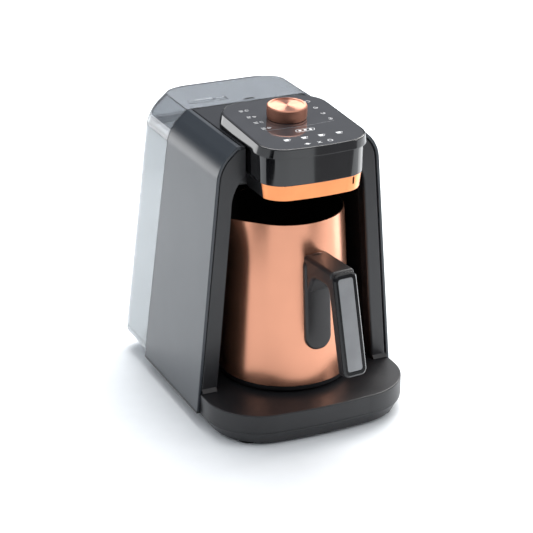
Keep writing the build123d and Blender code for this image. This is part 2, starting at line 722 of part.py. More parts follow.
with BuildPart() as control_board:
    with BuildSketch(on_head(-6.6)):
        with BuildLine():
            u_line(head_w - 4.4, hf + 4.4, head_rf - 4.4, head_bow, hr - 4.4, head_rr - 4.4)
        make_face()
    extrude(amount=1.4)
    with BuildSketch(on_head(-5.2)):
        with GridLocations(17, 14, 4, 2):
            with Locations((0, -30)):
                Rectangle(3.2, 3.2)
    extrude(amount=1.4)
save(control_board.part, "control_board")

with BuildPart() as rotary_encoder:
    with BuildSketch(on_head(-5.2)):
        Rectangle(12.4, 13.2)
    extrude(amount=3.5)
    with BuildSketch(on_head(-4.9)):
        Circle(3.6)
    extrude(amount=4.6)
    with BuildSketch(on_head(-4.9)):
        Circle(3.05)
    extrude(amount=10, mode=Mode.SUBTRACT)
save(rotary_encoder.part, "rotary_encoder")

# ---------------------------------------------------------------- knob
with BuildPart() as knob_cap:
    with BuildSketch(on_head(0.4)):
        Circle(knob_r - 0.4)
    extrude(amount=2.0)
    with BuildSketch(on_head(2.4)):
        Circle(knob_r)
    extrude(amount=knob_h - 2.4)
    chamfer(knob_cap.faces().filter_by(lambda f: True).sort_by(Axis.Z)[-1].edges(), 0.9)
    with BuildSketch(on_head(knob_h)):
        Circle(knob_r - 2.6)
    extrude(amount=-0.5, mode=Mode.SUBTRACT)
    with BuildSketch(on_head(0.4)):
        Circle(knob_r - 2.4)
    extrude(amount=knob_h - 3.4, mode=Mode.SUBTRACT)
save(knob_cap.part, "knob_cap")

with BuildPart() as knob_hub:
    with BuildSketch(on_head(0.5)):
        Circle(knob_r - 2.5)
        Circle(3.02, mode=Mode.SUBTRACT)
    extrude(amount=knob_h - 3.6)
    with BuildSketch(on_head(0.5)):
        Circle(knob_r - 4.0)
        Circle(5.4, mode=Mode.SUBTRACT)
    extrude(amount=5.6, mode=Mode.SUBTRACT)
save(knob_hub.part, "knob_hub")

with BuildPart() as knob_shaft:
    with BuildSketch(on_head(-4.8)):
        Circle(2.98)
    extrude(amount=4.8 + knob_h - 3.6)
save(knob_shaft.part, "knob_shaft")

# ================================================================ works inside
works_z = 27.2
with BuildPart() as works_floor:
    with BuildSketch(Plane.XY.offset(works_z)):
        with Locations((0, 57.8)):
            Rectangle(150, 26.2)
        with Locations((16, 56.4)):
            Circle(4.2, mode=Mode.SUBTRACT)
        with Locations((-46, 58)):
            RectangleRounded(24, 12, 2, mode=Mode.SUBTRACT)
    extrude(amount=2.4)
save(works_floor.part, "works_floor")

with BuildPart() as pump:
    with BuildSketch(Plane.YZ.offset(-26)):
        with Locations((56.4, 46)):
            Circle(10.6)
    extrude(amount=34)
    with BuildSketch(Plane.YZ.offset(8)):
        with Locations((56.4, 46)):
            RectangleRounded(20, 20, 3)
    extrude(amount=16)
    with BuildSketch(Plane.XY.offset(55)):
        with Locations((16, 56.4)):
            Circle(1.6)
    extrude(amount=9)
    with BuildSketch(Plane.XY.offset(37)):
        with Locations((16, 56.4)):
            Circle(1.5)
    extrude(amount=-8)
save(pump.part, "pump")

with BuildPart() as pump_cradle:
    with BuildSketch(Plane.YZ.offset(-20)):
        with BuildLine():
            Polyline((45.2, works_z + 2.4), (67.6, works_z + 2.4), (67.6, 40), (45.2, 40), close=True)
        make_face()
        with Locations((56.4, 46)):
            Circle(10.6, mode=Mode.SUBTRACT)
    extrude(amount=22)
save(pump_cradle.part, "pump_cradle")

with BuildPart() as inlet_hose:
    with BuildLine():
        p_in = FilletPolyline((0, valve_y - 11.4, seam_z - 5.1), (0, 64, seam_z - 5.1), (16, 56.4, 16.0),
                              (16, 56.4, 36.0), radius=5.0)
    with BuildSketch(Plane(origin=p_in @ 0, z_dir=p_in % 0)):
        Circle(2.3)
        Circle(1.5, mode=Mode.SUBTRACT)
    sweep()
save(inlet_hose.part, "inlet_hose")

with BuildPart() as outlet_hose:
    with BuildLine():
        p_out = FilletPolyline((16, 56.4, 56.0), (16, 56.4, 80), (30, 48.0, 104), (30, 47.6, 214),
                               (20, 30, 222), (0, -10, 223), (0, -54, 223), (0, -54, trim_z + 4.9), radius=5.0)
    with BuildSketch(Plane(origin=p_out @ 0, z_dir=p_out % 0)):
        Circle(2.6)
        Circle(1.6, mode=Mode.SUBTRACT)
    sweep()
save(outlet_hose.part, "outlet_hose")

with BuildPart() as power_board:
    with BuildSketch(Plane.XZ.offset(-45.2)):
        with Locations((-16, 118)):
            Rectangle(76, 58)
    extrude(amount=-1.6)
    with BuildSketch(Plane.XZ.offset(-46.8)):
        with Locations((-38, 130)):
            Rectangle(20, 16)
        with Locations((-12, 132)):
            Rectangle(16, 14)
        with Locations((8, 108)):
            Circle(5)
        with Locations((-34, 104)):
            Rectangle(24, 14)
        with Locations((-8, 106)):
            Rectangle(10, 20)
    extrude(amount=-8.6)
save(power_board.part, "power_board")

with BuildPart() as speaker:
    with BuildSketch(Plane.XY.offset(206.3)):
        with Locations((-34, 10)):
            Circle(14)
    extrude(amount=2.2)
    with BuildSketch(Plane.XY.offset(208.5)):
        with Locations((-34, 10)):
            Circle(9)
    extrude(amount=5)
save(speaker.part, "speaker")

with BuildPart() as wire_harness:
    with BuildLine():
        p_w = FilletPolyline((-38, 51.0, 138.1), (-38, 50.0, 200), (-24, 40, 216), (-10, 0, 216.5),
                             (-10, -30, 222), (-10, -60, 224), (-10, -60, 242.1), radius=5.0)
    with BuildSketch(Plane(origin=p_w @ 0, z_dir=p_w % 0)):
        Circle(2.4)
    sweep()
save(wire_harness.part, "wire_harness")

# ================================================================ fasteners
with BuildPart() as base_screws:
    with BuildSketch(Plane.XY.offset(foot_h - 1.4)):
        with Locations(*screws_at):
            Circle(3.3)
    extrude(amount=1.4)
    with BuildSketch(Plane.XY.offset(foot_h - 0.1)):
        with Locations(*screws_at):
            Circle(1.6)
    extrude(amount=9.2)
    with BuildSketch(Plane.XY.offset(foot_h - 1.4)):
        with Locations(*screws_at):
            Rectangle(3.6, 0.9)
            Rectangle(0.9, 3.6)
    extrude(amount=0.8, mode=Mode.SUBTRACT)
save(base_screws.part, "base_screws")

with BuildPart() as screw_posts:
    with BuildSketch(Plane.XY.offset(base_floor)):
        with Locations((-70, -52), (70, -52)):
            Circle(4.0)
            Circle(1.7, mode=Mode.SUBTRACT)
    extrude(amount=tray_z - 2.7 - base_floor)
    with BuildSketch(Plane.XY.offset(base_floor)):
        with Locations((-70, 62), (70, 62)):
            Circle(4.0)
            Circle(1.7, mode=Mode.SUBTRACT)
    extrude(amount=works_z - base_floor)
save(screw_posts.part, "screw_posts")

# ================================================================ tank
# The tank follows the casing's leaning sides; all its walls lean with them.
gap_t = 0.6
wall_t = 2.4
tank_z0 = seam_z + 0.2
with BuildPart() as water_tank:
    with BuildSketch(Plane.XY.offset(tank_z0)):
        with BuildLine():
            back_arc(wx(tank_z0), ry(tank_z0) + gap_t, by(tank_z0), 17.0)
        make_face()
    with BuildSketch(Plane.XY.offset(lid_z)):
        with BuildLine():
            back_arc(wx(lid_z), ry(lid_z) + gap_t, by(lid_z), 17.0)
        make_face()
    loft()
    fillet(water_tank.faces().sort_by(Axis.Z)[0].edges().filter_by(
        lambda e: e.center().Y > ry(seam_z) + 3), 7.0)
    for z, inset in ((seam_z + 3.0, 6.4), (seam_z + 10.0, wall_t), (lid_z, wall_t)):
        with BuildSketch(Plane.XY.offset(z)):
            with BuildLine():
                back_arc(wx(z) - inset, ry(z) + gap_t + wall_t, by(z) - inset, 17.0 - inset)
            make_face()
    loft(ruled=True, mode=Mode.SUBTRACT)
    # valve neck: raised ring inside, hole through the floor
    with BuildSketch(Plane.XY.offset(seam_z + 2.9)):
        with Locations((0, valve_y)):
            Circle(12.0)
    extrude(amount=6.4)
    with BuildSketch(Plane.XY.offset(seam_z - 1)):
        with Locations((0, valve_y)):
            Circle(9.0)
    extrude(amount=20, mode=Mode.SUBTRACT)
save(water_tank.part, "water_tank")

with BuildPart() as valve_cage:
    with BuildSketch(Plane.XY.offset(seam_z + 4.4)):
        with Locations((0, valve_y)):
            Circle(9.0)
            Circle(3.6, mode=Mode.SUBTRACT)
    extrude(amount=2.0)
    with BuildSketch(Plane.XY.offset(seam_z + 6.3)):
        with Locations((0, valve_y)):
            Circle(9.0)
            Circle(6.6, mode=Mode.SUBTRACT)
    extrude(amount=12.2)
    with BuildSketch(Plane.XY.offset(seam_z + 18.4)):
        with Locations((0, valve_y)):
            Circle(9.0)
            Circle(2.1, mode=Mode.SUBTRACT)
    extrude(amount=1.6)
    # water windows in the cage
    with BuildSketch(Plane.XZ.offset(-valve_y)):
        with Locations((0, seam_z + 14.5)):
            Rectangle(7, 5)
    extrude(amount=12, both=True, mode=Mode.SUBTRACT)
save(valve_cage.part, "valve_cage")

with BuildPart() as valve_poppet:
    with BuildSketch(Plane.XY.offset(seam_z + 6.45)):
        with Locations((0, valve_y)):
            Circle(5.6)
    extrude(amount=1.6)
    with BuildSketch(Plane.XY.offset(seam_z + 0.5)):
        with Locations((0, valve_y)):
            Circle(1.7)
    extrude(amount=6.3)
    with BuildSketch(Plane.XY.offset(seam_z + 8.0)):
        with Locations((0, valve_y)):
            Circle(1.7)
    extrude(amount=14.0)
save(valve_poppet.part, "valve_poppet")

with BuildPart() as valve_spring:
    with BuildLine():
        coil = Helix(pitch=2.2, height=9.2, radius=3.9, center=(0, valve_y, seam_z + 8.6))
    with BuildSketch(Plane(origin=coil @ 0, z_dir=coil % 0)):
        Circle(0.45)
    sweep(is_frenet=True)
save(valve_spring.part, "valve_spring")

with BuildPart() as valve_seal:
    with BuildSketch(Plane.XY.offset(seam_z + 1.6)):
        with Locations((0, valve_y)):
            Circle(9.0)
            Circle(7.0, mode=Mode.SUBTRACT)
    extrude(amount=2.7)
save(valve_seal.part, "valve_seal")

# Lid: clear cap with bevelled sides and a flat top, its skirt sits in the tank mouth.
lid_gap = 0.3
lid_t = 2.2


def lid_line(z, off, zo=None):
    """Plan outline of the lid at height z; corners widen where the bevel cuts them."""
    e = max(0.0, (z - bend_z + 8) / (deck_z - bend_z + 8))
    k = max(0.0, off)
    back_line(arch_w(z, off), ry(z) + gap_t + k, by(z) - k, 17.0 - k, 17.0 - k + 8.0 * e)


outer_z = [lid_z + lid_gap, 218.0, 222.0, 226.0, 230.0, 234.3]
with BuildPart() as tank_lid:
    for z in outer_z:
        with BuildSketch(Plane.XY.offset(z)):
            with BuildLine():
                lid_line(z, 0.0)
            make_face()
    loft()
    for z in (234.3, deck_z):
        with BuildSketch(Plane.XY.offset(z)):
            with BuildLine():
                lid_line(z, 0.0)
            make_face()
    loft()
    for z in [lid_z + lid_gap - 0.2, 218.0, 222.0, 226.0, 230.0, 233.0]:
        with BuildSketch(Plane.XY.offset(z)):
            with BuildLine():
                lid_line(z, lid_t)
            make_face()
    loft(mode=Mode.SUBTRACT)
    for z in (233.0, deck_z - lid_t):
        with BuildSketch(Plane.XY.offset(z)):
            with BuildLine():
                lid_line(z, lid_t)
            make_face()
    loft(mode=Mode.SUBTRACT)
    # locating skirt inside the tank mouth, joined to the wall by a ledge
    with BuildSketch(Plane.XY.offset(lid_z - 5)):
        with BuildLine():
            back_line(wx(lid_z) - wall_t - 0.6, ry(lid_z) + gap_t + wall_t + 0.9, by(lid_z) - wall_t - 0.6, 14.0)
        make_face()
        with BuildLine():
            back_line(wx(lid_z) - wall_t - 2.2, ry(lid_z) + gap_t + wall_t + 2.5, by(lid_z) - wall_t - 2.2, 12.4)
        make_face(mode=Mode.SUBTRACT)
    extrude(amount=7.3)
    with BuildSketch(Plane.XY.offset(lid_z + lid_gap)):
        with BuildLine():
            back_line(wx(lid_z) - 1.2, ry(lid_z) + gap_t + 1.2, by(lid_z) - 1.2, 15.8)
        make_face()
        with BuildLine():
            back_line(wx(lid_z) - wall_t - 2.2, ry(lid_z) + gap_t + wall_t + 2.5, by(lid_z) - wall_t - 2.2, 12.4)
        make_face(mode=Mode.SUBTRACT)
    extrude(amount=2.0)
    # finger recess in the flat top, near the front left
    with BuildSketch(Plane.XY.offset(deck_z)):
        with Locations((-34.5, 71)):
            SlotOverall(25, 9)
        with Locations((-16.0, 70.6)):
            RectangleRounded(8.4, 8.4, 0.8)
        with Locations((4.0, 59.6)):
            Rectangle(9.0, 4.4)
    extrude(amount=-1.2, mode=Mode.SUBTRACT)
save(tank_lid.part, "tank_lid")

# ================================================================ jug
jp = Plane(origin=(0, jug_y, 0), x_dir=(cos(radians(jug_turn)), sin(radians(jug_turn)), 0), z_dir=(0, 0, 1))
jug_axis = Axis((0, jug_y, 0), (0, 0, 1))
# planes of the jug: local x to the right of the handle, local y towards the rear
jp_side = Plane(origin=(0, jug_y, 0), x_dir=-jp.y_dir, z_dir=-jp.x_dir)   # (radial out to the handle, up)
jp_prof = Plane(origin=(0, jug_y, 0), x_dir=jp.x_dir, z_dir=-jp.y_dir)    # (radial, up) for revolving
jp_front = jp_prof                                                       # faces the handle


spout_tip = 57.6
spout_z = jug_zt - 40.0


def rim_points(z, off):
    """Outline of the sleeve at height z: a circle that swells smoothly into the spout."""
    t = (z - spout_z) / (jug_zt - spout_z)
    swell = (spout_tip - jug_rt) * max(0.0, t) ** 2
    pts = []
    for i in range(60):
        a = 2 * pi * i / 60
        s = abs(a - pi) / radians(36)
        r = jr(z) - off
        if s < 1:
            g = (sqrt(s * s + 0.02) - sqrt(0.02)) / (sqrt(1.02) - sqrt(0.02))
            r += swell * (1 - g) ** 2
        pts.append((r * cos(a), r * sin(a)))
    return pts


with BuildPart() as jug_sleeve:
    with BuildSketch(jp_prof):
        with BuildLine():
            Polyline((jug_rb - jug_skin, jug_zb), (jug_rb, jug_zb), (jr(spout_z), spout_z),
                     (jr(spout_z) - jug_skin, spout_z), close=True)
        make_face()
    revolve(axis=jug_axis)
    for off in (0.0, jug_skin):
        with BuildSketch(jp.offset(spout_z)):
            Circle(jr(spout_z) - off)
        for k in range(1, 6):
            zz = spout_z + 8.0 * k
            with BuildSketch(jp.offset(zz)):
                with BuildLine():
                    Spline(*rim_points(zz, off), periodic=True)
                make_face()
        loft(mode=Mode.SUBTRACT if off else Mode.ADD)
    # two handle screw holes
    with BuildSketch(jp_front.offset(40)):
        with Locations((0, 80), (0, 100)):
            Circle(1.9)
    extrude(amount=30, mode=Mode.SUBTRACT)
save(jug_sleeve.part, "jug_sleeve")

liner_gap = 0.06
with BuildPart() as jug_liner:
    with BuildSketch(jp_prof):
        with BuildLine():
            r0 = jug_rb - jug_skin - liner_gap
            r1 = jug_rt - jug_skin - liner_gap
            Polyline((0, jug_zb - 1.0), (53.9, jug_zb - 1.0), (53.9, jug_zb - 0.05), (r0, jug_zb - 0.05), (r1, jug_zt - 0.3), (r1 - 0.8, jug_zt - 0.3),
                     (r0 - 0.9, jug_zb + 0.2), (0, jug_zb + 0.2), close=True)
        make_face()
    revolve(axis=jug_axis)
    # open towards the spout
    with BuildSketch(jp.offset(jug_zt - 24)):
        Polygon((-36, -7.5), (-60, -7.5), (-60, 7.5), (-36, 7.5), align=None)
    with BuildSketch(jp.offset(jug_zt + 1)):
        Polygon((-36, -24.5), (-60, -24.5), (-60, 24.5), (-36, 24.5), align=None)
    loft(mode=Mode.SUBTRACT)
    with BuildSketch(jp_front.offset(40)):
        with Locations((0, 80), (0, 100)):
            Circle(1.9)
    extrude(amount=30, mode=Mode.SUBTRACT)
save(jug_liner.part, "jug_liner")

with BuildPart() as jug_base_ring:
    with BuildSketch(jp_prof):
        with BuildLine():
            Polyline((49.9, plate_top + run_gap), (54.2, plate_top + run_gap), (55.3, plate_top + 1.6),
                     (55.3, jug_zb - 0.1), (55.0 - 0.9, jug_zb - 0.1), (54.0, jug_zb - 1.1), (49.9, jug_zb - 1.1), close=True)
        make_face()
    revolve(axis=jug_axis)
save(jug_base_ring.part, "jug_base_ring")

with BuildPart() as jug_bottom_plate:
    with BuildSketch(jp.offset(plate_top + run_gap)):
        Circle(49.7)
    extrude(amount=jug_zb - 1.1 - plate_top - run_gap)
save(jug_bottom_plate.part, "jug_bottom_plate")

# Handle: plate on the jug, arm, and a free-ended grip that leans outwards.
grip_w = 10.8
face_top, face_low = (94.3, 146.6), (113.4, 66.6)      # outer face of the grip, (radial, up)
face_l = sqrt((face_low[0] - face_top[0]) ** 2 + (face_top[1] - face_low[1]) ** 2)
face_n = ((face_top[1] - face_low[1]) / face_l, (face_low[0] - face_top[0]) / face_l)
face_m = ((face_top[0] + face_low[0]) / 2, (face_top[1] + face_low[1]) / 2)
face_plane = Plane(origin=jp_side.from_local_coords((face_m[0], face_m[1], 0)), x_dir=jp.x_dir,
                   z_dir=jp_side.x_dir * face_n[0] + Vector(0, 0, 1) * face_n[1])
cap_t = 2.4
with BuildPart() as handle_pad:
    with BuildSketch(jp_prof):
        with BuildLine():
            Polyline((0, 55), (jr(55) + 3.9, 55), (jr(160) + 3.9, 160), (0, 160), close=True)
        make_face()
    revolve(axis=jug_axis)
    with BuildSketch(jp_front):
        with Locations((0, 107.6)):
            RectangleRounded(24.0, 83.2, 11.0)
    extrude(amount=80, mode=Mode.INTERSECT)
    fillet(handle_pad.edges().filter_by(lambda e: jp.to_local_coords(e.center()).Y < -35
                                        and abs(e.length) > 5 and e.geom_type != GeomType.LINE
                                        or jp.to_local_coords(e.center()).Y < -45), 2.4)

with BuildPart() as handle_grip:
    with BuildSketch(face_plane.offset(-cap_t - 0.02)):
        RectangleRounded(2 * grip_w, face_l + 2.6, 5.6)
    extrude(amount=-9.8)
    fillet(handle_grip.faces().sort_by(lambda f: face_plane.to_local_coords(f.center()).Z)[0].edges(), 4.2)

with BuildPart() as handle_body:
    with BuildSketch(jp_side):
        with BuildLine():
            Polyline((45, 148.6), (91.0, 148.3), (93.2, 139.0), (90.6, 120.6), (84.6, 134.4), (64.0, 134.4),
                     (56.0, 119.0), (45, 112.0), close=True)
        make_face()
        fillet([v for v in vertices() if abs(v.X - 64.0) < 0.2], 9.0)
        fillet([v for v in vertices() if abs(v.X - 84.6) < 0.2], 6.0)
        fillet([v for v in vertices() if abs(v.X - 91.0) < 0.2], 3.0)
    extrude(amount=grip_w, both=True)
    fillet(handle_body.edges().filter_by(
        lambda e: abs(jp.to_local_coords(e.center()).X) > grip_w - 0.05
        and jp.to_local_coords(e.center()).Y < -47.0 and e.center().Z > 124), 3.0)
    add(handle_pad.part)
    add(handle_grip.part)
    # hollow for the jug wall
    with BuildSketch(jp_prof):
        with BuildLine():
            Polyline((0, 20), (jr(20) + 0.05, 20), (jr(190) + 0.05, 190), (0, 190), close=True)
        make_face()
    revolve(axis=jug_axis, mode=Mode.SUBTRACT)
    # two blind screw holes in the pad
    for zz in (80, 100):
        with BuildSketch(jp_front.offset(40)):
            with Locations((0, zz)):
                Circle(1.6)
        extrude(amount=jr(zz) + 2.4 - 40, mode=Mode.SUBTRACT)
save(handle_body.part, "handle_body")

# glossy cap with bevelled border on the outer face of the grip
with BuildPart() as handle_cover:
    with BuildSketch(face_plane.offset(-cap_t)):
        RectangleRounded(2 * grip_w - 0.4, face_l + 2.2, 5.4)
    extrude(amount=cap_t)
    chamfer(handle_cover.faces().sort_by(lambda f: -face_plane.to_local_coords(f.center()).Z)[0].edges(), 1.5)
    with BuildSketch(face_plane):
        with Locations((-0.4, 0)):
            RectangleRounded(14.0, face_l - 6.4, 2.4)
    extrude(amount=-1.2, mode=Mode.SUBTRACT)
save(handle_cover.part, "handle_cover")

with BuildPart() as handle_inset:
    with BuildSketch(face_plane.offset(-1.18)):
        with Locations((-0.4, 0)):
            RectangleRounded(13.7, face_l - 6.7, 2.25)
    extrude(amount=1.1)
    fillet(handle_inset.faces().sort_by(lambda f: -face_plane.to_local_coords(f.center()).Z)[0].edges(), 0.25)
save(handle_inset.part, "handle_inset")

with BuildPart() as handle_screws:
    for zz in (80, 100):
        seat = jr(zz) - jug_skin - liner_gap - 0.9 - 0.35
        with BuildSketch(jp_front.offset(seat - 1.4)):
            with Locations((0, zz)):
                Circle(3.4)
        extrude(amount=1.4)
        with BuildSketch(jp_front.offset(seat - 0.1)):
            with Locations((0, zz)):
                Circle(1.5)
        extrude(amount=jr(zz) + 2.2 - seat + 0.1)
save(handle_screws.part, "handle_screws")
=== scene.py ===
import json
import math

import bmesh
import bpy
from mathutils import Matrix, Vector


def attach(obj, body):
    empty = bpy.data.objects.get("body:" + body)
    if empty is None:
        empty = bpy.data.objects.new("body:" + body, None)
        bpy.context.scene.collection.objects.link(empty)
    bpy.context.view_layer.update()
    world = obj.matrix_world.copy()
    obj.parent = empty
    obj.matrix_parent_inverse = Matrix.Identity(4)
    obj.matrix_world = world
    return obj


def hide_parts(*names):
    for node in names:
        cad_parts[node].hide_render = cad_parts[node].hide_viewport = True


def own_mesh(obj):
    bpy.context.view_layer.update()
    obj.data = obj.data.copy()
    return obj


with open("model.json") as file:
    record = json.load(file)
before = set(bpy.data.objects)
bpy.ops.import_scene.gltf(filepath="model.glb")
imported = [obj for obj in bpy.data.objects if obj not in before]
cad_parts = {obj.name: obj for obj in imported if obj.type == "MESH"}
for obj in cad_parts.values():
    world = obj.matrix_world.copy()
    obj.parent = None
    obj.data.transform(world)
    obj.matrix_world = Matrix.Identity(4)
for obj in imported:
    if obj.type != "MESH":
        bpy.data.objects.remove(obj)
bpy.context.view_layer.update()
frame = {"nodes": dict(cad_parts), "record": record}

nodes = frame["nodes"]

# ------------------------------------------------------------------ materials
LIB = {}


def node(nt, kind, **vals):
    n = nt.nodes.new(kind)
    for k, v in vals.items():
        if k in n.inputs.keys():
            n.inputs[k].default_value = v
        else:
            setattr(n, k, v)
    return n


def coords(nt, scale=(1, 1, 1), loc=(0, 0, 0)):
    tc = nt.nodes.new("ShaderNodeTexCoord")
    mp = nt.nodes.new("ShaderNodeMapping")
    mp.inputs["Scale"].default_value = scale
    mp.inputs["Location"].default_value = loc
    nt.links.new(tc.outputs["Object"], mp.inputs["Vector"])
    return mp.outputs["Vector"]


def noise(nt, vec, scale, detail=3.0, rough=0.5, dist=0.0):
    n = nt.nodes.new("ShaderNodeTexNoise")
    n.inputs["Scale"].default_value = scale
    n.inputs["Detail"].default_value = detail
    n.inputs["Roughness"].default_value = rough
    n.inputs["Distortion"].default_value = dist
    nt.links.new(vec, n.inputs["Vector"])
    return n.outputs["Fac"]


def spread(nt, fac, lo, hi, f0=0.3, f1=0.7):
    m = nt.nodes.new("ShaderNodeMapRange")
    m.inputs["From Min"].default_value = f0
    m.inputs["From Max"].default_value = f1
    m.inputs["To Min"].default_value = lo
    m.inputs["To Max"].default_value = hi
    nt.links.new(fac, m.inputs["Value"])
    return m.outputs["Result"]


def two_tone(nt, fac, a, b):
    r = nt.nodes.new("ShaderNodeValToRGB")
    r.color_ramp.elements[0].position = 0.3
    r.color_ramp.elements[1].position = 0.7
    r.color_ramp.elements[0].color = (*a, 1)
    r.color_ramp.elements[1].color = (*b, 1)
    nt.links.new(fac, r.inputs["Fac"])
    return r.outputs["Color"]


def surface(name, base, rough, metal=0.0, spec=0.5, mottle=0.08, mottle_scale=60.0, rough_var=0.05,
            rough_scale=35.0, grain=0.0, grain_scale=2500.0, grain_dist=0.00004, stretch=(1, 1, 1),
            coat=0.0, coat_rough=0.05, aniso=0.0, radial=False, sheen=0.0, edge=0.0005):
    """A principled surface with colour mottling, uneven gloss and a fine grain."""
    m = bpy.data.materials.new(name)
    m.use_nodes = True
    nt = m.node_tree
    p = nt.nodes["Principled BSDF"]
    p.inputs["Metallic"].default_value = metal
    p.inputs["Specular IOR Level"].default_value = spec
    p.inputs["Coat Weight"].default_value = coat
    p.inputs["Coat Roughness"].default_value = coat_rough
    p.inputs["Sheen Weight"].default_value = sheen
    v = coords(nt)
    lo = tuple(max(0.0, c * (1 - mottle)) for c in base)
    hi = tuple(min(1.0, c * (1 + mottle)) for c in base)
    col = two_tone(nt, noise(nt, v, mottle_scale, 4.0), lo, hi)
    nt.links.new(col, p.inputs["Base Color"])
    r = spread(nt, noise(nt, v, rough_scale, 4.0, 0.6), max(0.02, rough - rough_var), rough + rough_var)
    nt.links.new(r, p.inputs["Roughness"])
    if grain > 0:
        g = noise(nt, coords(nt, stretch), grain_scale, 3.0, 0.6)
        b = nt.nodes.new("ShaderNodeBump")
        b.inputs["Strength"].default_value = grain
        b.inputs["Distance"].default_value = grain_dist
        nt.links.new(g, b.inputs["Height"])
        nt.links.new(b.outputs["Normal"], p.inputs["Normal"])
        if edge > 0:
            e = nt.nodes.new("ShaderNodeBevel")
            e.samples = 6
            e.inputs["Radius"].default_value = edge
            nt.links.new(e.outputs["Normal"], b.inputs["Normal"])
    if aniso:
        p.inputs["Anisotropic"].default_value = aniso
        if radial:
            t = nt.nodes.new("ShaderNodeTangent")
            t.direction_type = "RADIAL"
            t.axis = "Z"
            nt.links.new(t.outputs["Tangent"], p.inputs["Tangent"])
    LIB[name] = m
    return m


def clear(name, tint, rough, ior=1.45, through=1.0):
    m = bpy.data.materials.new(name)
    m.use_nodes = True
    nt = m.node_tree
    p = nt.nodes["Principled BSDF"]
    p.inputs["Base Color"].default_value = (*tint, 1)
    p.inputs["Transmission Weight"].default_value = through
    p.inputs["IOR"].default_value = ior
    v = coords(nt)
    r = spread(nt, noise(nt, v, 30, 4.0, 0.6), max(0.0, rough - 0.02), rough + 0.03)
    nt.links.new(r, p.inputs["Roughness"])
    g = noise(nt, v, 14.0, 2.0, 0.4)
    b = nt.nodes.new("ShaderNodeBump")
    b.inputs["Strength"].default_value = 0.05
    b.inputs["Distance"].default_value = 0.0006
    nt.links.new(g, b.inputs["Height"])
    nt.links.new(b.outputs["Normal"], p.inputs["Normal"])
    LIB[name] = m
    return m


surface("casing", (0.033, 0.040, 0.049), 0.30, spec=0.62, mottle=0.03, rough_var=0.015, grain=0.02, grain_scale=1500)
surface("rim", (0.020, 0.020, 0.022), 0.33, mottle=0.05, rough_var=0.03, grain=0.06, grain_scale=2600)
surface("black_matt", (0.006, 0.006, 0.007), 0.5, spec=0.35, rough_var=0.05, grain=0.15, grain_scale=2200)
surface("deck_gloss", (0.020, 0.021, 0.024), 0.13, mottle=0.05, rough_var=0.03, grain=0.02, grain_scale=900)
surface("head_gloss", (0.006, 0.006, 0.007), 0.08, spec=0.75, mottle=0.1, rough_var=0.02, grain=0.015, grain_scale=500)
surface("panel_glass", (0.030, 0.031, 0.035), 0.07, mottle=0.1, rough_var=0.02, grain=0.01, grain_scale=400)
surface("trim_copper", (0.87, 0.315, 0.125), 0.30, metal=0.85, mottle=0.05, rough_var=0.04, grain=0.05,
        grain_scale=1800)
surface("jug_copper", (0.69, 0.318, 0.202), 0.24, metal=0.90, mottle=0.02, rough_var=0.02, grain=0.02,
        grain_scale=900, stretch=(1, 1, 0.04), grain_dist=0.00002, aniso=0.35, radial=True)
surface("jug_black", (0.004, 0.004, 0.004), 0.55, spec=0.25, rough_var=0.05, grain=0.1)
surface("tray_plastic", (0.015, 0.015, 0.017), 0.36, mottle=0.07, rough_var=0.05, grain=0.22, grain_scale=1900)
surface("base_plastic", (0.016, 0.016, 0.018), 0.34, mottle=0.07, rough_var=0.05, grain=0.22, grain_scale=1900)
surface("rubber_black", (0.012, 0.012, 0.012), 0.75, spec=0.3, grain=0.3, grain_scale=1500)
surface("hot_plate", (0.16, 0.16, 0.165), 0.38, metal=0.8, grain=0.1, grain_scale=900, stretch=(1, 1, 1))
surface("steel", (0.55, 0.55, 0.56), 0.3, metal=1.0, grain=0.08, grain_scale=300, stretch=(1, 1, 20))
surface("inner_plastic", (0.11, 0.11, 0.12), 0.5, grain=0.15)
surface("board_green", (0.02, 0.10, 0.05), 0.35, mottle=0.3, mottle_scale=300, coat=0.3)
surface("silicone", (0.72, 0.73, 0.72), 0.45, grain=0.1, sheen=0.1)
surface("handle_black", (0.018, 0.016, 0.017), 0.36, mottle=0.08, rough_var=0.05, grain=0.16, grain_scale=2300)
surface("handle_gloss", (0.008, 0.008, 0.009), 0.13, rough_var=0.02, grain=0.02, grain_scale=700)
surface("inset_grey", (0.33, 0.335, 0.345), 0.32, metal=0.4, rough_var=0.04, grain=0.08, grain_scale=200,
        stretch=(1, 1, 14))
surface("wire_black", (0.02, 0.02, 0.02), 0.5, grain=0.1)
clear("tank_clear", (0.62, 0.655, 0.675), 0.08, through=0.66)
clear("lid_clear", (0.52, 0.54, 0.565), 0.03, through=0.88)


